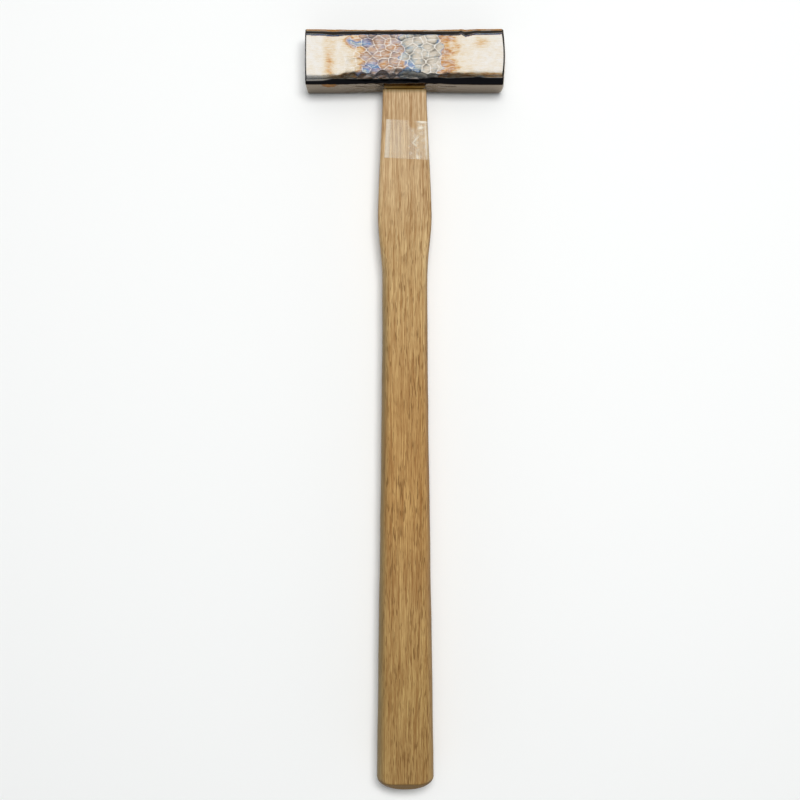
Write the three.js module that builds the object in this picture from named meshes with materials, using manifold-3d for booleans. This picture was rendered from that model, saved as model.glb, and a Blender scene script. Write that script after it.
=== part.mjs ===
// A double-faced carpenter's hammer: a square steel head with a hammered finish on an oak handle.
// Millimetres. The hammer lies on its side on a bench: +X runs along the head to its crowned face,
// +Y along the handle to the head, +Z up. The origin is on the bench under the middle of its box.
import * as THREE from "three";
import { mergeVertices } from "three/addons/utils/BufferGeometryUtils.js";
import Module from "manifold-3d";

const wasm = await Module();
wasm.setup();

// Head: a forged square bar
const HEAD_LENGTH = 91.4; // from the flat face to the top of the crowned one
const HEAD_WIDTH = 25.4; // along the handle
const HEAD_HEIGHT = 25.4; // up from the bench
const HEAD_WAIST = 0.2; // how far each side draws in at mid length
const FACE_BEVEL = 0.45; // round both striking faces, at the middle of each side
const BEVEL_RISE = 0.1; // how much longer it gets for each millimetre further out
const CROWN_RADIUS = 85; // of the crowned face
const CROWN_RINGS = 3; // of facets between the crowned face's edge and its middle

// Chamfers on the head's long edges, ground by hand
const FAR_UPPER_CHAMFER = 3;
const NEAR_UPPER_CHAMFER = 2.4;
const LOWER_CHAMFER = 1.8;

// Hammered finish: rows of dents that die out towards the plain ends
const PLAIN_END = 8;
const DENT_LENGTH = 4.4;
const DENT_WIDTH = 3.2;
const DENT_DEPTH = 0.28;
const DENT_SPREAD = 0.3; // share by which a dent's depth differs from that
const DENT_RING = 0.5; // how far out a dent's ring of inner points lies
const DENT_FADE = 13;
const DENT_WANDER = 0.19; // how far a corner strays, as a share of a dent's size
const RIDGE_LEAN = 1 / 6; // share of a row by which ridge points lean to make six-sided dents
const EDGE_NICK = 0.14; // how deep the dents cut the long edges at most
const EDGE_ROLL = 0.4; // how far each side rolls down to one of its edges
const ROLLED_ROWS = 2; // over which it does so

// Eye through the head, and the fit of the handle in it
const EYE_LENGTH = 19; // along the head
const EYE_HEIGHT = 11.4;
const EYE_CORNER = 1; // radius of the eye's corners
const EYE_FLARE = 0.4; // how far each wall opens towards the wedge
const EYE_CLEARANCE = 0.25;
const EYE_OFFSET = 0.6; // of the eye and handle from the head's middle, towards the flat face
const END_RECESS = 0.3; // of the handle's end below the head's far side

// Handle: flat and square-edged near the head, rounder in the grip
const HANDLE_REACH = 321.5; // from the head's near side to the butt
const WIDTH_AT_HEAD = 19.8;
const SWELL_WIDTH = 24.6;
const NECK_WIDTH = 20.8;
const BUTT_WIDTH = 26.2;
const THICKNESS_AT_HEAD = 15;
const NECK_THICKNESS = 16.4;
const BUTT_THICKNESS = 17.8;
const SWELL_FROM_HEAD = 59;
const NECK_FROM_HEAD = 87;
const GRIP_FLARE = 1.6; // the grip widens faster towards the butt
const EDGE_RADIUS_AT_HEAD = 1;
const EDGE_RADIUS_AT_SWELL = 1.8;
const EDGE_RADIUS_AT_NECK = 4.5;
const EDGE_RADIUS_AT_BUTT = 5.5;
const ROUNDEST = 0.98; // an edge radius stays within this share of half the section
const SHOULDER_GAP = 1.4; // from the head's near side to where the shoulder starts
const SHOULDER_BEVEL = 0.6; // length over which the shoulder reaches its full size
const BUTT_CORNER_WIDTH = 10.6; // each butt corner is a quarter of an oval in plan
const BUTT_CORNER_LENGTH = 6;
const BUTT_BEVEL_LENGTH = 1.7;
const BUTT_BEVEL_DROP = 2.5;

// Barbed steel wedge, driven aslant into the handle's end
const WEDGE_WIDTH = 12.5;
const WEDGE_DEPTH = 16;
const WEDGE_THICKNESS = 2.8;
const WEDGE_TIP = 0.6;
const WEDGE_SLANT = THREE.MathUtils.degToRad(24);
const WEDGE_CLEARANCE = 0.25;
const BARB_PITCH = 2.8;
const BARB_DEPTH = 0.3;

// Strip of clear tape over the handle's top and down its right side
const TAPE_WIDTH = 17.6;
const TAPE_LENGTH = 45;
const TAPE_THICKNESS = 0.2;
const TAPE_GAP = 0.2;
const TAPE_FROM_HEAD = 24.5; // from the head's near side to the strip's middle line
const TAPE_MARGIN = 2; // from the handle's left side to the strip's end
const TAPE_TILT = THREE.MathUtils.degToRad(3);

// Fineness of the round forms
const CORNER_STEPS = 5;
const BUTT_STEPS = 9;
const STATION_STEP = 6;
const TAPE_STEP = 0.65;
const TAPE_ROWS = 4;
const OVERRUN = 1; // how far a cutter runs past what it cuts
const SAME_POINT = 1e-4; // points nearer than this are one

// Places that follow from the sizes
const AXIS_Z = HEAD_HEIGHT / 2; // the handle and head share this height
const HEAD_Y = HANDLE_REACH / 2; // middle of the head
const NEAR_Y = HEAD_Y - HEAD_WIDTH / 2;
const EYE_MOUTH = HEAD_WIDTH / 2 - HEAD_WAIST; // from the head's middle to either mouth of the eye
const HANDLE_X = -EYE_OFFSET; // middle of the handle, the eye and the wedge

const steel = new THREE.MeshStandardMaterial({ color: 0xd8d3c8, roughness: 0.22, metalness: 1 });
const oak = new THREE.MeshStandardMaterial({ color: 0xc19a63, roughness: 0.6, metalness: 0 });
const wedgeSteel = new THREE.MeshStandardMaterial({ color: 0x8d8a84, roughness: 0.45, metalness: 1 });
const clearFilm = new THREE.MeshStandardMaterial({
  color: 0xe4dcc8,
  roughness: 0.3,
  metalness: 0,
  transparent: true,
  opacity: 0.4,
});

// Smooth step from 0 to 1, level at both ends.
function ease(t) {
  const clamped = THREE.MathUtils.clamp(t, 0, 1);
  return clamped * clamped * (3 - 2 * clamped);
}

// A repeatable scatter from -1 to 1 for a set of whole numbers.
function scatter(...keys) {
  const mixed = keys.reduce((sum, key, i) => sum + (key + 1) * (12.9898 + 31.4159 * i), 0);
  const wave = Math.sin(mixed) * 43758.5453;
  return 2 * (wave - Math.floor(wave)) - 1;
}

// A geometry from points and triangles of point numbers.
function facetGeometry(points, triangles) {
  const geometry = new THREE.BufferGeometry().setFromPoints(points);
  geometry.setIndex(triangles.flat());
  return geometry;
}

// The same facets without normals or texture places, with equal points joined.
function joined(geometry) {
  const bare = new THREE.BufferGeometry();
  bare.setAttribute("position", geometry.getAttribute("position"));
  bare.setIndex(geometry.index);
  return mergeVertices(bare, SAME_POINT);
}

function toSolid(geometry) {
  const merged = joined(geometry);
  return new wasm.Manifold(
    new wasm.Mesh({
      numProp: 3,
      vertProperties: merged.getAttribute("position").array,
      triVerts: new Uint32Array(merged.index.array),
    }),
  );
}

function toGeometry(solid) {
  const mesh = solid.getMesh();
  const geometry = new THREE.BufferGeometry();
  geometry.setAttribute("position", new THREE.BufferAttribute(mesh.vertProperties, 3));
  geometry.setIndex(new THREE.BufferAttribute(mesh.triVerts, 1));
  geometry.computeVertexNormals();
  return geometry;
}

// A closed skin over equal rings of points. The rings run right-handed about the way they follow
// each other, and each end is closed by a fan.
function loft(rings) {
  const count = rings[0].length;
  const points = rings.flat();
  const triangles = [];
  for (let i = 0; i + 1 < rings.length; i++)
    for (let j = 0; j < count; j++) {
      const here = i * count + j;
      const beside = i * count + ((j + 1) % count);
      triangles.push([here, beside, beside + count], [here, beside + count, here + count]);
    }
  for (const start of [0, (rings.length - 1) * count]) {
    const ring = points.slice(start, start + count);
    const hub = points.length;
    points.push(ring.reduce((sum, p) => sum.add(p), new THREE.Vector3()).divideScalar(count));
    for (let j = 0; j < count; j++) {
      const edge = [start + j, start + ((j + 1) % count)];
      if (start === 0) edge.reverse();
      triangles.push([hub, ...edge]);
    }
  }
  return facetGeometry(points, triangles);
}

// A ring round the handle's axis at y: a rectangle with round corners, right-handed about +Y, from
// the top right corner on.
function roundedRing(y, { halfWidth, halfThickness, radius }) {
  const ring = [];
  for (let corner = 0; corner < 4; corner++) {
    const signX = corner === 0 || corner === 1 ? 1 : -1;
    const signZ = corner === 0 || corner === 3 ? 1 : -1;
    for (let step = 0; step <= CORNER_STEPS; step++) {
      const angle = ((corner + step / CORNER_STEPS) * Math.PI) / 2;
      ring.push(
        new THREE.Vector3(
          HANDLE_X + signX * (halfWidth - radius) + radius * Math.sin(angle),
          y,
          AXIS_Z + signZ * (halfThickness - radius) + radius * Math.cos(angle),
        ),
      );
    }
  }
  return ring;
}

// The eye's section at a distance from the head's middle towards the wedge, drawn in by inset.
function eyeSection(offset, inset) {
  const opening = (EYE_FLARE * (offset + EYE_MOUTH)) / (2 * EYE_MOUTH);
  return {
    halfWidth: EYE_LENGTH / 2 + opening - inset,
    halfThickness: EYE_HEIGHT / 2 + opening - inset,
    radius: Math.max(EYE_CORNER - inset, EYE_CORNER / 2),
  };
}

// The handle's section at a distance from the head's near side.
function handleSection(distance) {
  const rise = distance / SWELL_FROM_HEAD;
  const fall = (distance - SWELL_FROM_HEAD) / (NECK_FROM_HEAD - SWELL_FROM_HEAD);
  const grip = (distance - NECK_FROM_HEAD) / (HANDLE_REACH - NECK_FROM_HEAD);
  const flare = (Math.max(grip, 0) ** GRIP_FLARE + ease(grip)) / 2;
  const mix = THREE.MathUtils.lerp;
  const swelling = mix(WIDTH_AT_HEAD, SWELL_WIDTH, (Math.min(rise, 1) + ease(rise)) / 2);
  const width = mix(mix(swelling, NECK_WIDTH, ease(fall)), BUTT_WIDTH, flare);
  const settled = mix(THICKNESS_AT_HEAD, NECK_THICKNESS, ease(distance / NECK_FROM_HEAD));
  const thickness = mix(settled, BUTT_THICKNESS, flare);
  const nearRadius = mix(EDGE_RADIUS_AT_HEAD, EDGE_RADIUS_AT_SWELL, ease(rise));
  const radius = mix(mix(nearRadius, EDGE_RADIUS_AT_NECK, ease(fall)), EDGE_RADIUS_AT_BUTT, flare);
  // Both ends of the butt's round-off: the corners in plan and the bevel above and below.
  const left = HANDLE_REACH - distance;
  const turn = 1 - Math.min(left / BUTT_CORNER_LENGTH, 1);
  const cornerCut = BUTT_CORNER_WIDTH * (1 - Math.sqrt(1 - turn * turn));
  const bevelCut = BUTT_BEVEL_DROP * (1 - Math.min(left / BUTT_BEVEL_LENGTH, 1));
  const halfWidth = width / 2 - cornerCut;
  const halfThickness = thickness / 2 - bevelCut;
  return {
    halfWidth,
    halfThickness,
    radius: Math.min(radius, halfWidth * ROUNDEST, halfThickness * ROUNDEST),
  };
}

// How far a side of the head draws in at x: nothing on the plain ends, most at mid length.
function waistAt(x) {
  const share = Math.min(Math.abs(x) / (HEAD_LENGTH / 2 - PLAIN_END), 1);
  return HEAD_WAIST * (1 - share * share) ** 2;
}

// A point of the head's skin. Side 0 faces +Y, then each next side is a quarter turn on about +X.
// Across runs from -1 to 1 over the flat between the chamfers to the last and to the next side.
function headPoint(side, x, across, { depth = 0, scale = 1 } = {}) {
  const facesY = side % 2 === 0;
  const reach = (facesY ? HEAD_WIDTH : HEAD_HEIGHT) / 2 - waistAt(x);
  const edge = (facesY ? HEAD_HEIGHT : HEAD_WIDTH) / 2 - waistAt(x);
  const chamfers = [FAR_UPPER_CHAMFER, NEAR_UPPER_CHAMFER, LOWER_CHAMFER, LOWER_CHAMFER];
  const low = chamfers[(side + 3) % 4] - edge;
  const high = edge - chamfers[side];
  const aside = THREE.MathUtils.lerp(low, high, (across + 1) / 2);
  const local = new THREE.Vector3(x, (reach - depth) * scale, aside * scale);
  return local
    .applyAxisAngle(new THREE.Vector3(1, 0, 0), (side * Math.PI) / 2)
    .add(new THREE.Vector3(0, HEAD_Y, AXIS_Z));
}

// The bar: four sides of dents between plain ends, joined by edge chamfers, with both faces closed.
function barGeometry() {
  const halfZone = HEAD_LENGTH / 2 - PLAIN_END;
  const dents = Math.max(2, Math.round((2 * halfZone) / DENT_LENGTH));
  const flat = (size) => size - NEAR_UPPER_CHAMFER - LOWER_CHAMFER;
  const rowsOf = (size) => Math.max(2, Math.round(flat(size) / DENT_WIDTH));
  const rows = [0, 1, 2, 3].map((side) => rowsOf(side % 2 === 0 ? HEAD_HEIGHT : HEAD_WIDTH));
  const halfPitch = halfZone / dents;
  const points = [];
  const triangles = [];
  const numbers = new Map();

  const place = (point) => points.push(point) - 1;
  const fade = (x) => ease((halfZone - Math.abs(x)) / DENT_FADE);

  // Ridge point: column runs in half dents along the head, line numbers the seams between rows.
  function ridge(side, line, column) {
    const key = `${side} ${line} ${column}`;
    if (numbers.has(key)) return numbers.get(key);
    const onEnd = column === 0 || column === 2 * dents;
    const onEdge = line === 0 || line === rows[side];
    const lean = (line + column) % 2 === 0 ? RIDGE_LEAN : -RIDGE_LEAN;
    const stray = onEnd ? 0 : DENT_WANDER;
    const x = -halfZone + halfPitch * (column + 2 * stray * scatter(side, line, column));
    const shift = onEnd || onEdge ? 0 : lean + stray * scatter(column, side, line);
    const across = -1 + (2 * (line + shift)) / rows[side];
    const nick = onEdge && !onEnd ? (EDGE_NICK * (1 + scatter(line, column, side))) / 2 : 0;
    const rolled = Math.max(0, line + shift - rows[side] + ROLLED_ROWS) / ROLLED_ROWS;
    const depth = (nick + EDGE_ROLL * rolled ** 2) * fade(x);
    numbers.set(key, place(headPoint(side, x, across, { depth })));
    return numbers.get(key);
  }

  // One dent: a fan from its low middle through a ring of points in its bowl to its ridges.
  function dent(side, corners, key) {
    const middle = corners.reduce((sum, n) => sum.add(points[n]), new THREE.Vector3());
    middle.divideScalar(corners.length);
    const inward = new THREE.Vector3(0, -1, 0);
    inward.applyAxisAngle(new THREE.Vector3(1, 0, 0), (side * Math.PI) / 2);
    const depth = DENT_DEPTH * (1 + DENT_SPREAD * scatter(...key)) * fade(middle.x);
    const hub = place(middle.clone().addScaledVector(inward, depth));
    const ring = corners.map((n) => {
      const point = middle.clone().lerp(points[n], DENT_RING);
      return place(point.addScaledVector(inward, depth * (1 - DENT_RING ** 2)));
    });
    corners.forEach((corner, i) => {
      const next = (i + 1) % corners.length;
      triangles.push([hub, ring[i], ring[next]]);
      triangles.push([ring[i], corner, corners[next]], [ring[i], corners[next], ring[next]]);
    });
  }

  for (let side = 0; side < 4; side++)
    for (let row = 0; row < rows[side]; row++) {
      const stops = [];
      for (let column = row % 2; column <= 2 * dents; column += 2) stops.push(column);
      if (row % 2 === 1) {
        stops.unshift(0);
        stops.push(2 * dents);
      }
      for (let i = 0; i + 1 < stops.length; i++) {
        const columns = [];
        for (let column = stops[i]; column <= stops[i + 1]; column++) columns.push(column);
        const low = columns.map((column) => ridge(side, row, column));
        const high = columns.map((column) => ridge(side, row + 1, column));
        dent(side, [...high, ...low.reverse()], [side, row, stops[i]]);
      }
    }

  // Edge chamfers beside the dents.
  for (let side = 0; side < 4; side++)
    for (let column = 0; column < 2 * dents; column++) {
      const next = (side + 1) % 4;
      const [a, b] = [0, 1].map((step) => ridge(side, rows[side], column + step));
      const [c, d] = [0, 1].map((step) => ridge(next, 0, column + step));
      triangles.push([b, a, c], [b, c, d]);
    }

  // Plain ends: rings out to the bevel, then over the striking face to its middle.
  function closeEnd(sign) {
    const column = sign > 0 ? 2 * dents : 0;
    const crowned = sign > 0;
    const crown = (radius) => CROWN_RADIUS - Math.sqrt(CROWN_RADIUS ** 2 - radius ** 2);
    const facePoint = (side, line, scale) => {
      const across = -1 + (2 * line) / rows[side];
      const point = headPoint(side, (sign * HEAD_LENGTH) / 2, across, { scale });
      const radius = Math.hypot(point.y - HEAD_Y, point.z - AXIS_Z);
      const bevel = scale < 1 ? 0 : FACE_BEVEL + BEVEL_RISE * (radius - HEAD_WIDTH / 2);
      point.x -= sign * (bevel + (crowned ? crown(radius) : 0));
      return point;
    };
    const ringAt = (make) => {
      const ring = [];
      for (let side = 0; side < 4; side++)
        for (let line = 0; line <= rows[side]; line++) ring.push(make(side, line));
      return ring;
    };
    const rimScale = 1 - FACE_BEVEL / (HEAD_WIDTH / 2);
    const scales = [1, rimScale];
    if (crowned)
      for (let ring = CROWN_RINGS; ring > 0; ring--) scales.push(ring / (CROWN_RINGS + 1));
    let inner = ringAt((side, line) => ridge(side, line, column));
    for (const scale of scales) {
      const outer = ringAt((side, line) => place(facePoint(side, line, scale)));
      inner.forEach((n, i) => {
        const next = (i + 1) % inner.length;
        const quad = [n, inner[next], outer[next], outer[i]];
        if (!crowned) quad.reverse();
        triangles.push([quad[0], quad[1], quad[2]], [quad[0], quad[2], quad[3]]);
      });
      inner = outer;
    }
    const hub = place(new THREE.Vector3((sign * HEAD_LENGTH) / 2, HEAD_Y, AXIS_Z));
    inner.forEach((n, i) => {
      const edge = [n, inner[(i + 1) % inner.length]];
      triangles.push([hub, ...(crowned ? edge : edge.reverse())]);
    });
  }
  closeEnd(1);
  closeEnd(-1);
  return facetGeometry(points, triangles);
}

// The eye runs past both sides of the head, so that it cuts right through.
function eyeGeometry() {
  const past = HEAD_WAIST + OVERRUN;
  return loft(
    [-EYE_MOUTH - past, EYE_MOUTH + past].map((offset) =>
      roundedRing(HEAD_Y + offset, eyeSection(offset, 0)),
    ),
  );
}

function headGeometry() {
  return toGeometry(toSolid(barGeometry()).subtract(toSolid(eyeGeometry())));
}

// From the butt to the wedged end: the grip, the shoulder and the tongue that fills the eye.
function handleBody() {
  const distances = [];
  const roundOff = Math.max(BUTT_CORNER_LENGTH, BUTT_BEVEL_LENGTH);
  for (let i = 0; i < BUTT_STEPS; i++)
    distances.push(HANDLE_REACH - roundOff * (1 - Math.cos((i / BUTT_STEPS) * (Math.PI / 2))));
  const shoulder = SHOULDER_GAP + SHOULDER_BEVEL;
  const straight = HANDLE_REACH - roundOff - shoulder;
  const steps = Math.ceil(straight / STATION_STEP);
  for (let i = steps; i >= 0; i--) distances.push(shoulder + (straight * i) / steps);
  const rings = distances.map((distance) => roundedRing(NEAR_Y - distance, handleSection(distance)));
  const tongue = (y, offset) => roundedRing(y, eyeSection(offset, EYE_CLEARANCE));
  rings.push(tongue(NEAR_Y - SHOULDER_GAP, -EYE_MOUTH));
  for (const offset of [-EYE_MOUTH, EYE_MOUTH - END_RECESS]) rings.push(tongue(HEAD_Y + offset, offset));
  return loft(rings);
}

// The wedge's side view, with its head at 0 and its tip below, grown by margin. Barbs are saw teeth.
function wedgeShape(margin, barbed) {
  const halfAt = (depth) =>
    THREE.MathUtils.lerp(WEDGE_THICKNESS, WEDGE_TIP, depth / WEDGE_DEPTH) / 2 + margin;
  const side = [[0, halfAt(0)]];
  if (barbed)
    for (let depth = BARB_PITCH; depth < WEDGE_DEPTH - BARB_PITCH / 2; depth += BARB_PITCH)
      side.push([depth, halfAt(depth) - BARB_DEPTH], [depth, halfAt(depth)]);
  side.push([WEDGE_DEPTH + margin, halfAt(WEDGE_DEPTH)]);
  const mirrored = side.map(([depth, half]) => [depth, -half]).reverse();
  return new THREE.Shape([...side, ...mirrored].map(([depth, half]) => new THREE.Vector2(half, -depth)));
}

// A wedge or its slot: the side view drawn out along the wedge's width and turned to its slant.
function wedgeGeometry({ margin = 0, barbed = false, above = 0 } = {}) {
  const width = WEDGE_WIDTH + 2 * margin;
  const geometry = new THREE.ExtrudeGeometry(wedgeShape(margin, barbed), {
    depth: width,
    bevelEnabled: false,
  });
  geometry.translate(0, above, -width / 2);
  // Side view across Z and down Y, width along X, then the slant about the handle's own line.
  geometry.rotateY(Math.PI / 2);
  geometry.rotateY(WEDGE_SLANT);
  geometry.translate(HANDLE_X, HEAD_Y + EYE_MOUTH - END_RECESS, AXIS_Z);
  return joined(geometry);
}

function handleGeometry() {
  const slot = toSolid(wedgeGeometry({ margin: WEDGE_CLEARANCE }));
  const raised = toSolid(wedgeGeometry({ margin: WEDGE_CLEARANCE, above: OVERRUN }));
  return toGeometry(toSolid(handleBody()).subtract(slot.add(raised)));
}

// A point beside the handle's outline: way is the distance along it from the middle of the top,
// round the right side, and lift the distance off the wood.
function outlinePoint(distance, way, lift) {
  const { halfWidth, halfThickness, radius } = handleSection(distance);
  const flatTop = halfWidth - radius;
  const flatSide = 2 * (halfThickness - radius);
  const arc = (radius * Math.PI) / 2;
  const y = NEAR_Y - distance;
  const at = (x, z) => new THREE.Vector3(HANDLE_X + x, y, AXIS_Z + z);
  const bend = (angle, signZ) =>
    at(
      flatTop + (radius + lift) * Math.sin(angle),
      (signZ * flatSide) / 2 + (radius + lift) * Math.cos(angle),
    );
  if (way <= flatTop) return at(way, halfThickness + lift);
  if (way <= flatTop + arc) return bend((way - flatTop) / radius, 1);
  const down = way - flatTop - arc;
  if (down <= flatSide) return at(halfWidth + lift, flatSide / 2 - down);
  const under = down - flatSide;
  if (under <= arc) return bend(Math.PI / 2 + under / radius, -1);
  return at(flatTop - (under - arc), -halfThickness - lift);
}

// The strip is a slab bent round the handle: two skins of points, joined at their borders.
function tapeGeometry() {
  const start = TAPE_MARGIN - handleSection(TAPE_FROM_HEAD).halfWidth;
  const along = Math.ceil(TAPE_LENGTH / TAPE_STEP);
  const rings = [];
  for (let i = 0; i <= along; i++) {
    const way = (TAPE_LENGTH * i) / along;
    const ring = [];
    const pointAt = (j, lift) => {
      const side = TAPE_WIDTH * (j / TAPE_ROWS - 0.5);
      const distance = TAPE_FROM_HEAD + side * Math.cos(TAPE_TILT) + (way + start) * Math.sin(TAPE_TILT);
      return outlinePoint(distance, start + way * Math.cos(TAPE_TILT) - side * Math.sin(TAPE_TILT), lift);
    };
    for (let j = 0; j <= TAPE_ROWS; j++) ring.push(pointAt(j, TAPE_GAP + TAPE_THICKNESS));
    for (let j = TAPE_ROWS; j >= 0; j--) ring.push(pointAt(j, TAPE_GAP));
    rings.push(ring);
  }
  return loft(rings);
}

function part(name, geometry, material) {
  const mesh = new THREE.Mesh(geometry, material);
  mesh.name = name;
  return mesh;
}

const hammer = new THREE.Group();
hammer.add(part("hammer_head", headGeometry(), steel));
hammer.add(part("handle", handleGeometry(), oak));
hammer.add(part("steel_wedge", wedgeGeometry({ barbed: true }), wedgeSteel));
hammer.add(part("clear_tape", tapeGeometry(), clearFilm));

export default hammer;
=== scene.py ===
"""A double-faced carpenter's hammer, lying on its side on white paper.

The head is a forged steel bar with hammered, temper-coloured dents between polished ends. The handle is
one piece of oak, held in the head's eye by a steel wedge, with a strip of clear tape near the head.
Sizes are in millimetres until MM turns them into metres.
"""

import math

import bpy
import numpy as np
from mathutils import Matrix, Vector


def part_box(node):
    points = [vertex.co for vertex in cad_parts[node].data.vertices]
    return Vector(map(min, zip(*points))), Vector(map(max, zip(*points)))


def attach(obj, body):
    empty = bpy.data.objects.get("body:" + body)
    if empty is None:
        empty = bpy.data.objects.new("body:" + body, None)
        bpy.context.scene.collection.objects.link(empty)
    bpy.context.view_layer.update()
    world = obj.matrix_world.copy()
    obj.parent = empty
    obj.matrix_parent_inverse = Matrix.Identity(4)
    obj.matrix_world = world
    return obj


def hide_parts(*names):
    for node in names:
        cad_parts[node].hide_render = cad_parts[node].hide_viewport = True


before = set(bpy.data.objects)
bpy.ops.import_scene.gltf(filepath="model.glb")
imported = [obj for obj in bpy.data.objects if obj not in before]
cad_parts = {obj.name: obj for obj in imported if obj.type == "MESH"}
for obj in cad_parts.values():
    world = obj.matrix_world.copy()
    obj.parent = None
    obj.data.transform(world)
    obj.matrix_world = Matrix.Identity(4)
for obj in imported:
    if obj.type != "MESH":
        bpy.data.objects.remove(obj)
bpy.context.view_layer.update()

MM = 0.001
SEED = 7
PAPER_HALF = 6000  # half the side of the sheet below the part

# Camera, straight above the bench
CAMERA_X = -2.86
CAMERA_Y = 4.67
CAMERA_ROLL = -0.001  # radians
CAMERA_HEIGHT = 744.6
LENS = 71.46
SENSOR = 36
CLIP_END = 50000

# Light: a softbox in the sky that the steel mirrors, and a lamp that casts the shadows
SOFTBOX_TILT = 12  # degrees from overhead, towards the head's far side
SOFTBOX_GLOW = 1.5
LAMP_PLACE = (90, 250, 1200)
LAMP_AIM = (0, 50, 0)
LAMP_LENGTH = 420
LAMP_WIDTH = 270
LAMP_POWER = 10.25
LAMP_COLOUR = (0.99, 1.0, 1.0)

# Head
EDGE_CHAMFER = 2.4  # about, to space the points round the head
LOWER_CHAMFER = 1.8
# Places along the head, and how wide the chamfers are there
FAR_UPPER_CHAMFER = [
    (-45, 3.2), (-38, 3.4), (-33, 3.9), (-28, 3.4), (-20, 3.1), (-10, 2.95), (2, 2.95), (10, 3.1), (20, 3.35),
    (24, 3.3), (25, 2.75), (27, 4.0), (30, 3.3), (32, 3.0), (36, 3.2), (45, 2.85),
]
NEAR_UPPER_CHAMFER = [
    (-45, 2.0), (-38, 2.1), (-34, 2.6), (-27, 2.6), (7, 2.6), (10, 2.9), (14, 3.1), (20, 2.8), (26, 3.1),
    (34, 3.4), (45, 3.3),
]
HEAD_WAIST = 0.2  # how far each side draws in at mid length
PLAIN_END = 8
FLAT_FACE_BEVEL = 0.22
CROWNED_FACE_BEVEL = 0.38
BEVEL_RISE = 0.1  # how much the bevel grows for each millimetre that the rim stands out
CROWN_RADIUS = 85
CRISP_EDGE = 0.07  # softness of the cheeks' edges on the plain ends
WORN_EDGE = 0.2  # and where the hammer marks cross them
SOFT_EDGE = 0.1  # softness of the edges next to the eye
HEAD_STEP = 0.315  # between the points of the head's mesh
PLAIN_RINGS = 17  # along each plain end
BEVEL_RINGS = 5
FACE_RINGS = 24

# Hammer marks
DENT_LENGTH = 4.4  # spacing along and across the head
DENT_WIDTH = 3.15
DENT_WANDER = 0.36  # share of the spacing
DENT_BALL = 12.5  # radius of the hammer face that left them
DENT_SINK = 0.66
SINK_SPREAD = (0.75, 1.1)  # least and most share of the sink
STRETCH_SPREAD = (1.0, 1.25)
LEAN_SPREAD = (-0.6, 0.6)  # radians
HAMMERED_FADE = 19  # over what length the hammered middle gives way to the plain ends
# Places along the head, and how much of the dents' depth is left there
DENTS_KEPT = [
    (-38, 0), (-31, 0.12), (-25, 0.6), (-19, 1), (13.5, 1), (17, 0.5), (23, 0.25), (31, 0.08), (38, 0),
]
RIDGE_LEVEL = 0.2  # what lies higher than this is worn flat and polished
RIDGE_SOFTNESS = 0.02
RIDGE_WIDTH = 0.065  # how far the deepest bowl must lie below the next for the steel to keep its oxide
TONE_SHIFT = 0.35  # how far a dent's colour goes from the place's own to that of the dent's middle
# Places along the head, and how wide the worn facet along one edge of each cheek is there
WORN_FACET = [
    (-45, 2.0), (-36, 1.8), (-31, 1.7), (-27, 2.8), (-10, 3.2), (-4, 3.8), (6, 3.8), (10, 0.9), (15, 0.9),
    (18, 2.6), (26, 2.2), (45, 1.9),
]
END_FACET_SLOPE = 0.215
FACET_SLOPE = 0.28
FACET_SOFTNESS = 0.35
RIGHT_FACET_SOFTNESS = 0.75
RIGHT_FACET_FROM = 17  # where it starts to be softer, and over what length
RIGHT_FACET_RUN = 6
BROWNED_FROM = -38  # where the facets start to be browned, and over what length
BROWNED_RUN = 4

# Wear and colours of the steel
RUBBED_WIDTH = 0.48  # of a chamfer beside the cheek, rubbed bright
RUBBED_FROM = 33  # how far from mid length the near chamfer starts to be rubbed, and over what length
RUBBED_RUN = 5
STRAW_EDGE = 0.6  # share of the far chamfers where the straw edge starts
STRAW_RUN = 1.5  # how far it runs down the side
BROWNED_OXIDE = 0.34  # of the facets, on the scale that the function oxide explains
STRAW_OXIDE = 0.42
# The oxide whose golden colour paints the oak handle's reflection above the eye
HANDLE_REFLECTION_OXIDE = 0.35
BLUE_OXIDE = 0.8
FACE_OXIDE = 0.05
HANDLE_REFLECTION_REACH = 10.5  # how far the painted reflection of the oak handle in the near side reaches to each side above the eye
HANDLE_REFLECTION_HEIGHT = 4  # and from how high above the axis
HANDLE_REFLECTION_STRENGTH = 0.8
RUST_X = -35  # middle of a rust spot on the near side, along the head and above the axis
RUST_UP = 7.8
RUST_LENGTH = 3.6  # half of its length and height
RUST_HEIGHT = 4.2
NEAR_SHADE_X = -18  # middle and half length of a stretch of the near side beside the handle, darkened partly by dirt, partly as painted shade of the corner it mirrors
NEAR_SHADE_LENGTH = 8
NEAR_SHADE_STRENGTH = 0.3

# Eye
EYE_LENGTH = 19
EYE_HEIGHT = 11.4
EYE_CLEARANCE = 0.06
EYE_RINGS = 12
EYE_OFFSET = 0.6  # of the eye and handle from the head's middle, towards the flat face
END_RECESS = 0.3

# Handle
WIDTH_AT_HEAD = 19.8
SWELL_WIDTH = 24.6
NECK_WIDTH = 20.8
BUTT_WIDTH = 26.2
THICKNESS_AT_HEAD = 15
NECK_THICKNESS = 16.4
BUTT_THICKNESS = 17.8
SWELL_FROM_HEAD = 59
NECK_FROM_HEAD = 87
EDGE_RADIUS_AT_HEAD = 1
EDGE_RADIUS_AT_SWELL = 1.8
EDGE_RADIUS_AT_NECK = 4.5
EDGE_RADIUS_AT_BUTT = 5.5
GRIP_FLARE = 1.6
SHOULDER_GAP = 1.3
SHOULDER_BEVEL = 0.2
KERF_WIDTH = 0.65  # of the saw cut at the shoulder's foot
KERF_DEPTH = 1.2
KERF_RISE = 0.03  # over what length the tongue rises past the kerf
KERF_CREST = 0.1  # where a second ring keeps that edge crisp
LONG_UNEVENNESS = 0.09  # of the handle's outline, in long and short waves
SHORT_UNEVENNESS = 0.06
BUTT_CORNER_WIDTH = 10.6
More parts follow.
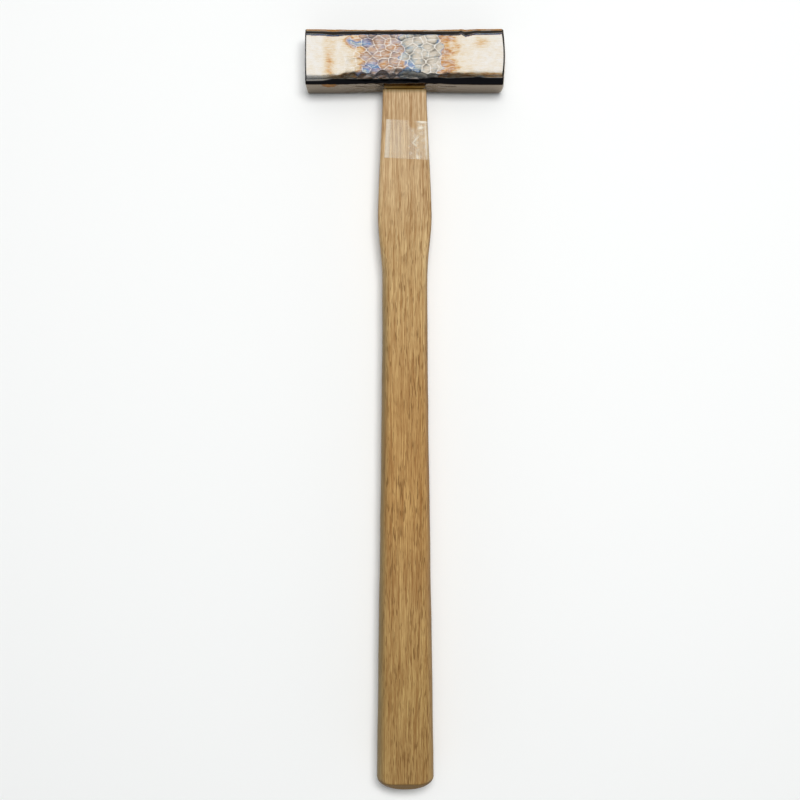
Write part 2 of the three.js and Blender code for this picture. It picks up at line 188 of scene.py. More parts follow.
BUTT_CORNER_LENGTH = 6
BUTT_BEVEL_LENGTH = 3.0
BUTT_BEVEL_DROP = 3.3
BUTT_END_RADIUS = 1.6
TONGUE_EDGE_RADIUS = 0.6
HANDLE_STEP = 0.7
BUTT_RINGS = 22
SHOULDER_RINGS = 8
CORNER_STEPS = 12
FLAT_STEPS = 14
SHADE_RUN = 60  # over what length past the swell the painted shade on the left side gets stronger
# Strength near the head of the painted shade on the left side, which faces away from the lamp
SHADE_AT_HEAD = 0.35
SHADE_BY_KERF = 2.3  # how far up the shoulder the painted shade beside the kerf starts
OIL_AND_SHADE_REACH = 1.1  # how far up the shoulder the oil from the eye went, darkened further as painted shade
# How much darker the joint is next to the kerf, as painted shade
OIL_AND_SHADE_AT_KERF = 1.12
KERF_SHADE_MARK = 2.0  # the value that marks the kerf, which painted shade fills

# Clear tape
TAPE_WIDTH = 17.6
TAPE_LENGTH = 45
TAPE_FILM = 0.06
TAPE_LIFT = 0.05
TAPE_FROM_HEAD = 24.5
TAPE_MARGIN = 2
TAPE_TILT = math.radians(3)
TAPE_STEPS = 240  # along the strip
TAPE_ROWS = 80
BLISTER_LIFT = 0.12
THIN_VEIL = 0.2

# Wedge
WEDGE_WIDTH = 12.5
WEDGE_THICKNESS = 2.8
WEDGE_SLANT = math.radians(24)
WEDGE_PROUD = 0.15
WEDGE_SHOWN = 1.5
WEDGE_EDGE_RADIUS = 0.35

# Places that follow from the frame
head_low, head_high = [np.array(corner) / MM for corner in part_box("hammer_head")]
handle_low, handle_high = [np.array(corner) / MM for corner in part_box("handle")]
HEAD_LENGTH, HEAD_WIDTH, HEAD_HEIGHT = head_high - head_low
AXIS_Z = HEAD_HEIGHT / 2
HEAD_Y = (head_low[1] + head_high[1]) / 2
NEAR_Y = head_low[1]
HANDLE_REACH = NEAR_Y - handle_low[1]
EYE_MOUTH = HEAD_WIDTH / 2 - HEAD_WAIST
HALF_ZONE = HEAD_LENGTH / 2 - PLAIN_END
HANDLE_X = -EYE_OFFSET


def ease(share):
    """Smooth step: three times the square less twice the cube, level at both ends."""
    share = np.clip(share, 0, 1)
    return share * share * (3 - 2 * share)


def mix(low, high, share):
    return low + (high - low) * share


def linear(hex_colour):
    """An sRGB hex colour as the linear values that sockets take."""
    parts = [int(hex_colour[start : start + 2], 16) / 255 for start in (1, 3, 5)]
    return (*[part / 12.92 if part <= 0.04045 else ((part + 0.055) / 1.055) ** 2.4 for part in parts], 1.0)


def add(tree, kind, links=None, stops=None, **settings):
    """Adds a node. links maps each input's name or number to a socket or a value, stops fills a ramp with
    hex colours. A Mix node has vectors in 4 and 5 or colours in 6 and 7, and its output is 1 or 2."""
    made = tree.nodes.new("ShaderNode" + kind)
    for key, value in settings.items():
        setattr(made, key, value)
    for key, value in (links or {}).items():
        if isinstance(value, bpy.types.NodeSocket):
            tree.links.new(value, made.inputs[key])
        else:
            made.inputs[key].default_value = value
    if stops:
        elements = made.color_ramp.elements
        while len(elements) < len(stops):
            elements.new(0.5)
        for element, (place, colour) in zip(elements, stops):
            element.position = place
            element.color = linear(colour)
    return made


def new_material(name):
    material = bpy.data.materials.new(name)
    material.use_nodes = True
    tree = material.node_tree
    tree.nodes.clear()
    shader = add(tree, "BsdfPrincipled")
    add(tree, "OutputMaterial", {"Surface": shader.outputs["BSDF"]})
    return material, tree, shader


def new_piece(name, points, faces, material, values=None):
    """A piece from rows of points in millimetres and faces of point numbers, shaded smooth."""
    mesh = bpy.data.meshes.new(name)
    mesh.from_pydata(points * MM, [], faces)
    for key, numbers in (values or {}).items():
        mesh.attributes.new(key, "FLOAT", "POINT").data.foreach_set("value", numbers.astype(np.float32))
    mesh.materials.append(material)
    mesh.shade_smooth()
    piece = bpy.data.objects.new(name, mesh)
    bpy.context.collection.objects.link(piece)
    return piece


def grid_faces(rows, columns, closed):
    """Quads between neighbouring rows of a grid of point numbers, round to the first column if closed."""
    number = np.arange(rows * columns).reshape(rows, columns)
    beside = np.roll(number, -1, axis=1)
    quads = np.stack([number[:-1], beside[:-1], beside[1:], number[1:]], axis=-1)
    return quads if closed else quads[:, :-1]


def end_fans(rows, columns):
    """Triangles that close a grid's first and last row, to two hubs whose numbers follow the grid's."""
    hub = rows * columns
    base = (rows - 1) * columns
    ring = np.arange(columns)
    around = np.roll(ring, -1)
    first = np.stack([np.full(columns, hub), around, ring], axis=-1)
    last = np.stack([np.full(columns, hub + 1), base + ring, base + around], axis=-1)
    return [*first.tolist(), *last.tolist()]


def dent_depth(x, across, half_width, seed):
    """How deep a side is dented, how far it is from a ridge, and the place whose colour it takes, for
    places along the head and across the side. A blow is a shallow bowl, its sink less the squared distance
    over twice the ball's radius. The deepest bowl wins, what stands above the ridge level is worn flat,
    and the dents fade out towards the ends."""
    random = np.random.default_rng(seed)
    columns = int(np.ceil(2 * (HALF_ZONE + DENT_LENGTH) / DENT_LENGTH))
    rows = int(np.ceil(2 * (half_width + DENT_WIDTH) / DENT_WIDTH))
    column, row = np.meshgrid(np.arange(columns), np.arange(rows), indexing="ij")
    stray = random.uniform(-DENT_WANDER, DENT_WANDER, (2, columns, rows))
    centre_x = DENT_LENGTH * (column - (columns - 1) / 2 + 0.5 * (row % 2) + stray[0])
    centre_across = DENT_WIDTH * (row - (rows - 1) / 2 + stray[1])
    sink = DENT_SINK * random.uniform(*SINK_SPREAD, (columns, rows))
    stretch = random.uniform(*STRETCH_SPREAD, (columns, rows))
    lean = random.uniform(*LEAN_SPREAD, (columns, rows))
    deepest = np.full(x.shape, -1.0)
    second = np.full(x.shape, -1.0)
    nearest_x, nearest_across = np.zeros(x.shape), np.zeros(x.shape)
    blows = zip(*[numbers.ravel() for numbers in (centre_x, centre_across, sink, stretch, lean)])
    for blow_x, blow_across, blow_sink, longer, turn in blows:
        off_x, off_across = x - blow_x, across - blow_across
        lengthwise = off_x * math.cos(turn) + off_across * math.sin(turn)
        crosswise = off_across * math.cos(turn) - off_x * math.sin(turn)
        bowl = blow_sink - ((lengthwise / longer) ** 2 + (crosswise * longer) ** 2) / (2 * DENT_BALL)
        nearest_x = np.where(bowl > deepest, blow_x, nearest_x)
        nearest_across = np.where(bowl > deepest, blow_across, nearest_across)
        second = np.maximum(second, np.minimum(deepest, bowl))
        deepest = np.maximum(deepest, bowl)
    fade = np.interp(x, *zip(*DENTS_KEPT))
    depth = RIDGE_SOFTNESS * np.logaddexp(0, (deepest - RIDGE_LEVEL) / RIDGE_SOFTNESS) * fade
    # Rubbing widened some stretches of the ridges more than others.
    rubbed = 1 + 0.7 * np.sin(1.7 * x + 2.3 * across) * np.sin(1.1 * across - 0.9 * x)
    floor_of_dent = ease((deepest - np.maximum(second, RIDGE_LEVEL)) / (RIDGE_WIDTH * rubbed))
    off_ridge = 1 - (1 - floor_of_dent) * fade
    shift = TONE_SHIFT * fade
    return depth, off_ridge, mix(x, nearest_x, shift), mix(across, nearest_across, shift)


def section_angles():
    """Angles round the head's axis whose rays cut its chamfered section in even steps, from the middle
    of the side that faces +Y. The eye's top and bottom fall on two of them."""
    flat = HEAD_HEIGHT / 2 - EDGE_CHAMFER
    eye = EYE_HEIGHT / 2
    half = HEAD_WIDTH / 2
    angles = []
    for start, end in ((0, eye), (eye, flat)):
        count = max(2, round((end - start) / HEAD_STEP))
        angles.append(np.arctan2(np.linspace(start, end, count, endpoint=False), half))
    steps = round(EDGE_CHAMFER * math.sqrt(2) / HEAD_STEP / 2)
    across = EDGE_CHAMFER * np.linspace(0, 0.5, steps, endpoint=False)
    angles.append(np.arctan2(flat + across, half - across))
    eighth = np.concatenate(angles)
    quarter = np.concatenate([eighth, [math.pi / 4], math.pi / 2 - eighth[:0:-1]])
    return np.concatenate([quarter + turns * math.pi / 2 for turns in range(4)])


def oxide(x, across, side):
    """How far the steel has gone from bright (0) through straw, brown and blue to grey (1) while it was
    tempered. A run along the head, plus a few rounded stains where it got hotter or stayed cooler, which
    only the upper cheek has."""
    run = [
        (-46, 0.03), (-38.5, 0.04), (-37, 0.13), (-35, 0.2), (-33, 0.16), (-31, 0.08), (-27, 0.11),
        (-24, 0.18), (-21.5, 0.28), (-19, 0.48), (-16, 0.56), (-10, 0.51), (-5, 0.54), (-1.9, 0.57),
        (-1.3, 0.94), (2, 1.0), (15.6, 1.04), (15.9, 0.43), (18, 0.41), (20.5, 0.39), (22.5, 0.3),
        (24.5, 0.14), (30, 0.08), (34, 0.06), (46, 0.03),
    ]
    # The colours' borders wave, except near the ends.
    wave = 1.3 * np.sin(0.75 * across + 1) + 0.7 * np.sin(1.9 * across)
    heat = np.interp(x + wave * ease((34 - np.abs(x)) / 12), *zip(*run))
    # Middle along and across, half length, half width, and how much further the steel has gone.
    stains = [
        (-35.0, 2.3, 2.3, 5.4, 0.15), (-34.4, 7.3, 2.2, 1.4, 0.16), (-33.5, -6.2, 3.2, 0.9, 0.07),
        (-28.5, -7.4, 2.0, 1.4, 0.16), (-25.4, -6.9, 2.2, 1.9, 0.66), (-22.6, -5.2, 2.8, 1.8, 0.6),
        (-19.0, -5.6, 2.6, 1.6, 0.34), (-23.3, -3.6, 1.6, 0.8, 0.3), (-26.7, -4.5, 2.3, 1.1, 0.16),
        (-18.4, 4.6, 3.0, 1.9, 0.36), (-14.2, 5.2, 2.6, 1.7, 0.32), (-19.0, 7.2, 2.4, 1.5, 0.42),
        (-25.8, 8.6, 2.0, 1.0, 0.4), (-22.0, 8.8, 1.7, 1.2, 0.56), (-10.4, 1.2, 2.3, 0.8, -0.1),
        (-9.7, 4.1, 1.9, 1.5, -0.12), (2.4, 5.0, 3.2, 3.8, -0.24), (-1.0, 4.4, 2.0, 2.8, -0.2),
        (-1.4, 7.9, 2.3, 1.2, -0.1), (5.2, 7.7, 2.2, 1.5, -0.2), (14.6, -6.7, 1.7, 1.5, -0.46),
        (19.9, -4.6, 2.9, 1.6, -0.2), (34.2, -5.8, 3.5, 2.8, 0.27), (21.0, -8.0, 2.2, 0.6, 0.12),
    ]
    for stain_x, stain_across, half_length, half_width, more in stains if side == 1 else ():
        distance = np.hypot((x - stain_x) / half_length, (across - stain_across) / half_width)
        heat = heat + more * (1 - ease(distance / 1.5))
    return heat


def steel_looks(x, angle, radius, width, waist, hammered, chamfer, eye_side, heat):
    """How much black scale, tint and oxide the skin has. Scale stays on the eye's sides and on the chamfers,
    where its black is partly scale, partly a painted dark reflection. Beside the cheek the near chamfers are
    rubbed bright at their ends, and the far ones turned blue, with outer edges that are straw brown near the
    cheeks. Above the eye a golden patch is a painted reflection of the oak handle, and beside the handle the
    near side is darkened, partly by dirt, partly as painted shade. A tint above 1 is rust."""
    outward, upward = radius * np.cos(angle), radius * np.sin(angle)
    past_edge = np.abs(outward) - HEAD_WIDTH / 2 + waist + width
    far = ease(np.cos(angle) * 4)
    near = 1 - far
    inner = 1 - ease(past_edge / (RUBBED_WIDTH * (1 - 0.4 * hammered * far)) - 0.5)
    rubbed = inner * np.maximum(far, ease((np.abs(x) - RUBBED_FROM) / RUBBED_RUN))
    blue = ease((chamfer - mix(0.01, 0.2, hammered)) / 0.08) * inner * far
    near_cheek = ease((np.abs(upward) - HEAD_HEIGHT / 2 + width + STRAW_RUN) / STRAW_RUN)
    straw = ease((past_edge / width - STRAW_EDGE) / 0.1) * near_cheek * far
    # Above the eye, golden steel paints the reflection of the oak handle in the near side.
    beside = ease((HANDLE_REFLECTION_REACH - np.abs(x - HANDLE_X)) / 2)
    handle_reflection = HANDLE_REFLECTION_STRENGTH * beside * ease((upward - HANDLE_REFLECTION_HEIGHT) / 1.5)
    straw = np.maximum(straw, handle_reflection * near * eye_side)
    # The rust spot is an oval with a ragged border.
    ragged = 0.15 * np.sin(2.3 * x + 1.1 * upward) + 0.12 * np.sin(3.1 * upward - x)
    from_spot = np.hypot((x - RUST_X) / RUST_LENGTH, (upward - RUST_UP) / RUST_HEIGHT)
    rust = (1 - ease((from_spot + ragged - 0.5) / 0.7)) * near * ease(eye_side * 2)
    # On the chamfers the black is partly scale, partly a painted dark reflection.
    on_chamfer = np.maximum(ease((chamfer - 0.3) / 0.4), ease(past_edge / 0.4))
    scale = np.clip(on_chamfer * (1 - rubbed) + eye_side, 0, 1) * (1 - straw)
    # On the eye's side, the straw colour is the painted reflection of the handle.
    straw_and_reflection_heat = mix(STRAW_OXIDE, HANDLE_REFLECTION_OXIDE, eye_side)
    heat = np.where(blue > 0.05, BLUE_OXIDE, np.where(straw > 0.05, straw_and_reflection_heat, heat))
    # Under scale, oxide tells how brown the scale is; the chamfers' black is partly a painted dark
    # reflection.
    # The near side beside the handle is darkened, partly dirt, partly painted shade of the shaded corner it
    # mirrors.
    near_shade = NEAR_SHADE_STRENGTH * np.exp(-(((x - NEAR_SHADE_X) / NEAR_SHADE_LENGTH) ** 2)) * near
    heat = np.where(scale > 0.5, ease(eye_side * 1.5 - 0.25) * (1 - near_shade), heat)
    tint = np.clip(3 * np.maximum(blue, straw), 0, 1)
    tint = np.where(rust > 0.02, 1 + rust, tint)
    return scale, tint, heat


def head_skin(x, angle):
    """The head's skin along a ray from its axis: the distance, then what the steel looks like there. Each
    side and chamfer is a plane, its distance less the dents, over the cosine of the ray's angle to it,
    and the nearest wins softly. Sides 1 and 3 are the upper and the lower cheek."""
    grazing = 0.3  # a plane counts only where the cosine is larger than this
    nowhere = 99
    half = np.array([HEAD_WIDTH, HEAD_HEIGHT, HEAD_WIDTH, HEAD_HEIGHT]) / 2
    share = np.clip(np.abs(x) / HALF_ZONE, 0, 1)
    waist = HEAD_WAIST * (1 - share**2) ** 2
    # Ground by hand, the upper chamfers are uneven.
    far_upper = np.interp(x, *zip(*FAR_UPPER_CHAMFER))
    near_upper = np.interp(x, *zip(*NEAR_UPPER_CHAMFER))
    chamfers = [far_upper, near_upper, LOWER_CHAMFER, LOWER_CHAMFER]
    hammered = ease((HALF_ZONE - np.abs(x)) / HAMMERED_FADE)
    facet = np.interp(x, *zip(*WORN_FACET))
    slope = mix(END_FACET_SLOPE, FACET_SLOPE, hammered)
    reach = []
    dents, heat = np.ones_like(x), np.ones_like(x)
    for side in range(4):
        turned = angle - side * math.pi / 2
        cosine = np.cos(turned)
        ahead = cosine > grazing
        plane = half[side] - waist
        across = np.tan(np.where(ahead, turned, 0)) * plane
        depth, off_ridge, tone_x, tone_across = dent_depth(x, across, half[side], SEED + side)
        # A worn facet slopes down to one edge of each cheek.
        past = across - (half[side] - chamfers[side] - facet)
        right = ease((x - RIGHT_FACET_FROM) / RIGHT_FACET_RUN)
        turn = mix(FACET_SOFTNESS, RIGHT_FACET_SOFTNESS, right)
        worn = slope * turn * np.logaddexp(0, past / turn) * (side % 2)
        reach.append(np.where(ahead, (plane - depth - worn) / np.maximum(cosine, grazing), nowhere))
        if side % 2:
            here = cosine > math.cos(math.pi / 4)
            dents = np.where(here, off_ridge, dents)
            browned = BROWNED_OXIDE * ease(past / 0.8) * ease((x - BROWNED_FROM) / BROWNED_RUN)
            heat = np.where(here, np.maximum(oxide(tone_x, tone_across, side), browned), heat)
    for corner in range(4):
        cosine = np.cos(angle - (corner + 0.5) * math.pi / 2)
        lowered = slope * facet * (corner % 2)
        plane = (HEAD_WIDTH - chamfers[corner] - lowered) / math.sqrt(2) - waist * math.sqrt(2)
        reach.append(np.where(cosine > grazing, plane / np.maximum(cosine, grazing), nowhere))
    reach = np.stack(reach)
    cheek = mix(CRISP_EDGE, WORN_EDGE, hammered)
    to_eye = np.cos(2 * angle)  # 1 on the eye's sides, -1 on the cheeks
    softness = mix(cheek, SOFT_EDGE, ease(to_eye * 2 + 0.5))
    least = reach.min(axis=0)
    weights = np.exp(-(reach - least) / softness)
    radius = least - softness * np.log(weights.sum(axis=0))
    chamfer = weights[4:].sum(axis=0) / weights.sum(axis=0)
    eye_side = (weights[0] + weights[2]) / weights.sum(axis=0)
    width = np.choose((angle // (math.pi / 2)).astype(int), [cut + 0 * x for cut in chamfers])
    looks = steel_looks(x, angle, radius, width, waist, hammered, chamfer, eye_side, heat)
    return radius, dents, *looks


def crown(radius, sign):
    """How far a striking face lies behind its middle: an arc on the right face, nothing on the left."""
    dip = CROWN_RADIUS - np.sqrt(CROWN_RADIUS**2 - radius**2)
    return dip if sign > 0 else np.zeros_like(radius)


def end_rings(angle, sign):
    """Stations from the last hammered one to the middle of a striking face, each with its place along the
    head and what head_skin gives. On the bevel the radius draws in as its share runs out."""
    face_bevel = FLAT_FACE_BEVEL if sign < 0 else CROWNED_FACE_BEVEL
    rim = head_skin(np.full_like(angle, sign * HALF_ZONE), angle)[0]
    bevel = face_bevel + BEVEL_RISE * (rim - HEAD_WIDTH / 2)
    start = HEAD_LENGTH / 2 - crown(rim, sign) - bevel
    rows = []
    for share in np.linspace(0, 1, PLAIN_RINGS + 1)[1:]:
        along = mix(HALF_ZONE, start, share)
        rim, *looks = head_skin(sign * along, angle)
        rows.append((along, rim, *looks))
    none = 0 * rim
    for share in np.linspace(0, 1, BEVEL_RINGS + 1)[1:]:
        radius = rim - face_bevel * share
        along = mix(start, HEAD_LENGTH / 2 - crown(radius, sign), share)
        rows.append((along, radius, none, none + 1, none, none))
    last = rim - face_bevel
    # The rings lie closer together near the edge.
    for share in np.linspace(1, 0, FACE_RINGS + 2)[1:-1] ** 0.8:
        radius = last * share
        rows.append((HEAD_LENGTH / 2 - crown(radius, sign), radius, none, none, none, none + FACE_OXIDE))
    return [(sign * row[0], *row[1:]) for row in rows]


def make_head(material):
    """The skin is a grid of stations along the head and angles round it, at the distances from head_skin.
    Rings that shrink to their middle close the ends."""
    angle = section_angles()
    eye_half = EYE_LENGTH / 2
    stops = [-HALF_ZONE, HANDLE_X - eye_half, HANDLE_X + eye_half, HALF_ZONE]
    runs = [
        np.linspace(start, end, round((end - start) / HEAD_STEP), endpoint=False)
        for start, end in zip(stops, stops[1:])
    ]
    middle = np.append(np.concatenate(runs), HALF_ZONE)
    grid_x, grid_angle = np.meshgrid(middle, angle, indexing="ij")
    low, high = end_rings(angle, -1)[::-1], end_rings(angle, 1)
    first = len(low)
    stack = [
        np.concatenate([[row[kind] for row in low], zone, [row[kind] for row in high]])
        for kind, zone in enumerate((grid_x, *head_skin(grid_x, grid_angle)))
    ]
    x, radius, dents, scale, tint, heat = stack
    y = radius * np.cos(angle)
    z = radius * np.sin(angle)
    # The eye's outline is drawn straight, and the faces inside it are left out.
    slack = 1e-6
    eye_rows = first + np.flatnonzero(np.abs(middle - HANDLE_X) <= eye_half + slack)
    across = np.tan(angle) * HEAD_WIDTH / 2
    for facing in (1, -1):
        inside = (np.cos(angle) * facing > 0.5) & (np.abs(across) <= EYE_HEIGHT / 2 + slack)
        columns = np.flatnonzero(inside)
        for column in columns[np.argsort(across[columns] * facing)][[0, -1]]:
            z[eye_rows, column] = math.copysign(EYE_HEIGHT / 2, z[first, column])
    points = np.stack([x, y + HEAD_Y, z + AXIS_Z], axis=-1)
    middle_x = (x[:-1] + x[1:]) / 2
    middle_across = (across + np.roll(across, -1)) / 2
    on_eye_side = np.abs(np.cos(angle)) > 0.7
    in_height = on_eye_side & (np.abs(middle_across) < EYE_HEIGHT / 2)
    in_eye = (np.abs(middle_x - HANDLE_X) < eye_half) & in_height
    quads = grid_faces(*x.shape, closed=True)[~in_eye]
    faces = [*quads.tolist(), *end_fans(*x.shape)]
    hubs = np.array([[-HEAD_LENGTH / 2, HEAD_Y, AXIS_Z], [HEAD_LENGTH / 2, HEAD_Y, AXIS_Z]])
    looks = {"dent": dents, "scale": scale, "tint": tint, "oxide": heat}
    values = {name: np.append(numbers, [0, 0]) for name, numbers in looks.items()}
    return new_piece("forged_head", np.concatenate([points.reshape(-1, 3), hubs]), faces, material, values)


def make_eye_wall(material):
    """The walls of the eye: its rectangle carried through the head from skin to skin."""
    half_x, half_z = EYE_LENGTH / 2, EYE_HEIGHT / 2
    corners = np.array([[half_x, half_z], [half_x, -half_z], [-half_x, -half_z], [-half_x, half_z]])
    counts = [round(half_z / HEAD_STEP) * 2, round(EYE_LENGTH / HEAD_STEP)] * 2
    sides = []
    for corner, next_corner, count in zip(corners, np.roll(corners, -1, axis=0), counts):
        sides.append(mix(corner, next_corner, np.linspace(0, 1, count, endpoint=False)[:, None]))
    x, z = np.concatenate(sides).T
    x = x + HANDLE_X
    angle = np.arctan2(z, HEAD_WIDTH / 2)
    far = head_skin(x, angle % (2 * math.pi))[0] * np.cos(angle)
    near = head_skin(x, math.pi - angle)[0] * -np.cos(angle)
    y = mix(near, far, np.linspace(0, 1, EYE_RINGS)[:, None])
    grid = [np.broadcast_to(x, y.shape), y + HEAD_Y, np.broadcast_to(z, y.shape) + AXIS_Z]
    points = np.stack(grid, axis=-1)
    faces = grid_faces(*y.shape, closed=True)[..., ::-1].reshape(-1, 4)
    return new_piece("eye_wall", points.reshape(-1, 3), faces.tolist(), material)


def handle_section(distance):
    """Half width, half thickness and corner radius at a distance from the head's near side."""
    rise = distance / SWELL_FROM_HEAD
    fall = ease((distance - SWELL_FROM_HEAD) / (NECK_FROM_HEAD - SWELL_FROM_HEAD))
    grip = np.clip((distance - NECK_FROM_HEAD) / (HANDLE_REACH - NECK_FROM_HEAD), 0, None)
    flare = (grip**GRIP_FLARE + ease(grip)) / 2
    swelling = mix(WIDTH_AT_HEAD, SWELL_WIDTH, (np.minimum(rise, 1) + ease(rise)) / 2)
    width = mix(mix(swelling, NECK_WIDTH, fall), BUTT_WIDTH, flare)
    settled = mix(THICKNESS_AT_HEAD, NECK_THICKNESS, ease(distance / NECK_FROM_HEAD))
    thickness = mix(settled, BUTT_THICKNESS, flare)
    near = mix(EDGE_RADIUS_AT_HEAD, EDGE_RADIUS_AT_SWELL, ease(rise))
    radius = mix(mix(near, EDGE_RADIUS_AT_NECK, fall), EDGE_RADIUS_AT_BUTT, flare)
    left = HANDLE_REACH - distance
    turn = 1 - np.clip(left / BUTT_CORNER_LENGTH, 0, 1)
    corner_cut = BUTT_CORNER_WIDTH * (1 - np.sqrt(1 - turn * turn))
    bevel = 1 - np.clip(left / BUTT_BEVEL_LENGTH, 0, 1)
    radius = mix(radius, BUTT_END_RADIUS, bevel)
    half_width = width / 2 - corner_cut
    half_thickness = thickness / 2 - BUTT_BEVEL_DROP * bevel
    roundest = 0.98 * np.minimum(half_width, half_thickness)
    return half_width, half_thickness, np.minimum(radius, roundest)


def rounded_ring(half_width, half_thickness, radius):
    """A rectangle with round corners: straight runs with even steps between quarter circles."""
    sizes = (half_width, half_thickness, radius)
    half_width, half_thickness, radius = [np.asarray(size)[..., None] for size in sizes]
    signs = [(1, 1), (1, -1), (-1, -1), (-1, 1)]
    parts = []
    for corner, (sign_x, sign_z) in enumerate(signs):
        angle = (corner + np.linspace(0, 1, CORNER_STEPS + 1)) * math.pi / 2
        x = sign_x * (half_width - radius) + radius * np.sin(angle)
        z = sign_z * (half_thickness - radius) + radius * np.cos(angle)
        next_x, next_z = signs[(corner + 1) % 4]
        end_angle = (corner + 1) * math.pi / 2
        goal_x = next_x * (half_width - radius) + radius * math.sin(end_angle)
        goal_z = next_z * (half_thickness - radius) + radius * math.cos(end_angle)
        share = np.linspace(0, 1, FLAT_STEPS + 1)[1:-1]
        parts += [(x, z), (mix(x[..., -1:], goal_x, share), mix(z[..., -1:], goal_z, share))]
    return [np.concatenate(numbers, axis=-1) for numbers in zip(*parts)]


def handle_wear_and_shade(grid):
    """How much painted shade and how much oil and painted shade each point of the handle has. Painted shade
    darkens the left side, which faces away from the lamp, more of it past the swell, and the shoulder beside
    the kerf. Oil went into the joint and the butt's end grain; the joint next to the kerf, the butt's bevel
    and the right edge are darkened further as painted shade, and painted shade fills the kerf."""
    # The way a spot faces is the cross product of its ring and of the line along the handle.
    facing = np.cross(np.gradient(grid, axis=1), np.gradient(grid, axis=0))
    facing = facing / np.maximum(np.linalg.norm(facing, axis=-1, keepdims=True), 1e-9)
    x, y = grid[..., 0], grid[..., 1]
    past_swell = ease((NEAR_Y - y - SWELL_FROM_HEAD) / SHADE_RUN)
    # Painted shade: the left side, which faces away from the lamp, is darkened, more past the swell.
    painted_shade = ease((-facing[..., 0] - 0.1) / 0.85) * mix(SHADE_AT_HEAD, 1.0, past_swell)
    # The butt's bevel is darker, partly oil in the end grain, partly painted shade on a face turned from the
    # lamp.
    butt = ease((-facing[..., 1] - 0.2) / 0.3)
    into_joint = y - NEAR_Y + SHOULDER_GAP
    from_kerf = ease(into_joint / SHOULDER_GAP)
    # The joint is darker, partly oil, partly painted shade between the head and the shoulder, most next to
    # the kerf.
    joint = ease((into_joint + OIL_AND_SHADE_REACH) / OIL_AND_SHADE_REACH) * mix(OIL_AND_SHADE_AT_KERF, 1.0, from_kerf)
    # The oil in the joint is darkest a little right of the middle, and palest at its left end.
    from_middle = x - HANDLE_X
    darker = 0.2 * np.exp(-(((from_middle - 1.5) / 4) ** 2))
    paler = 0.16 * np.exp(-(((from_middle + 7.6) / 2) ** 2))
    joint = joint * (0.94 + darker - paler)
    # Painted shade fills the kerf.
    in_kerf = (into_joint > -0.15) & (into_joint < KERF_WIDTH + 0.01)
    joint = np.where(in_kerf, KERF_SHADE_MARK, joint)
    # Painted shade darkens the shoulder beside the kerf, where the head shades the gap.
    painted_shade = np.maximum(painted_shade, ease((into_joint + SHADE_BY_KERF) / 1.6))
    # Painted shade darkens the steep right edge.
    right = 0.5 * ease((facing[..., 0] - 0.7) / 0.25)
    return painted_shade, np.maximum(np.maximum(butt, joint), right)


def make_handle(material):
    """Rings carried from the butt to the wedged end. Their size is handle_section, and over the last
    stretch the shoulder runs down to the saw kerf, past which the tongue fills the eye."""
    quarter = np.linspace(0, 1, BUTT_RINGS, endpoint=False)
    butt = HANDLE_REACH - BUTT_CORNER_LENGTH * (1 - np.cos(quarter * math.pi / 2))
    corner_start = HANDLE_REACH - BUTT_CORNER_LENGTH
    shoulder = SHOULDER_GAP + SHOULDER_BEVEL
    straight = np.linspace(corner_start, shoulder, round(corner_start / HANDLE_STEP))
    distance = np.concatenate([butt, straight])
    half_width, half_thickness, radius = handle_section(distance)
    mark = distance[:, None]
    ring_x, ring_z = rounded_ring(half_width, half_thickness, radius)
    # Hand work leaves the outline a hair uneven.
    long_waves = LONG_UNEVENNESS * np.sin(mark / 17 + 1)
    uneven = long_waves + SHORT_UNEVENNESS * np.sin(mark / 7.3 + ring_x / 6)
    grip = ease((mark - SWELL_FROM_HEAD) / 30) * ease((HANDLE_REACH - mark) / 20)
    ring_x = ring_x - np.sign(ring_x) * np.abs(uneven) * grip * np.abs(ring_x) / half_width[:, None]
    rings_y = NEAR_Y - np.broadcast_to(mark, ring_x.shape)
    share = np.linspace(0, 1, SHOULDER_RINGS + 1)[1:]
    rounding, sinking = np.sin(share * math.pi / 2), 1 - np.cos(share * math.pi / 2)
    tongue_x, tongue_z = EYE_LENGTH / 2 - EYE_CLEARANCE, EYE_HEIGHT / 2 - EYE_CLEARANCE
    near = handle_section(np.array(shoulder))
    foot = (tongue_x - KERF_DEPTH, tongue_z - KERF_DEPTH, TONGUE_EDGE_RADIUS)
    drop = [mix(top, bottom, sinking) for top, bottom in zip(near, foot)]
    shoulder_x, shoulder_z = rounded_ring(*drop)
    shoulder_y = np.broadcast_to((NEAR_Y - shoulder + SHOULDER_BEVEL * rounding)[:, None], shoulder_x.shape)
    kerf_end = KERF_WIDTH - SHOULDER_GAP - HEAD_WIDTH / 2
    risen, crest = kerf_end + KERF_RISE, kerf_end + KERF_CREST
    reach = np.array([kerf_end, risen, crest, -EYE_MOUTH, 0, EYE_MOUTH - END_RECESS])
    sunk = KERF_DEPTH * np.array([1, 0, 0, 0, 0, 0])
    end_x, end_z = rounded_ring(tongue_x - sunk, tongue_z - sunk, np.full(len(reach), TONGUE_EDGE_RADIUS))
    end_y = np.broadcast_to((HEAD_Y + reach)[:, None], end_x.shape)
    x = np.concatenate([ring_x, shoulder_x, end_x]) + HANDLE_X
    y = np.concatenate([rings_y, shoulder_y, end_y])
    z = np.concatenate([ring_z, shoulder_z, end_z]) + AXIS_Z
    faces = grid_faces(*x.shape, closed=True).reshape(-1, 4).tolist() + end_fans(*x.shape)
    hubs = np.array([[HANDLE_X, y[0, 0], AXIS_Z], [HANDLE_X, y[-1, 0], AXIS_Z]])
    grid = np.stack([x, y, z], axis=-1)
    painted_shade, oil_and_shade = handle_wear_and_shade(grid)
    points = np.concatenate([grid.reshape(-1, 3), hubs])
    values = {"painted_shade": np.append(painted_shade, [0, 0]), "oil_and_shade": np.append(oil_and_shade, [1, 1])}
    return new_piece("oak_handle", points, faces, material, values)


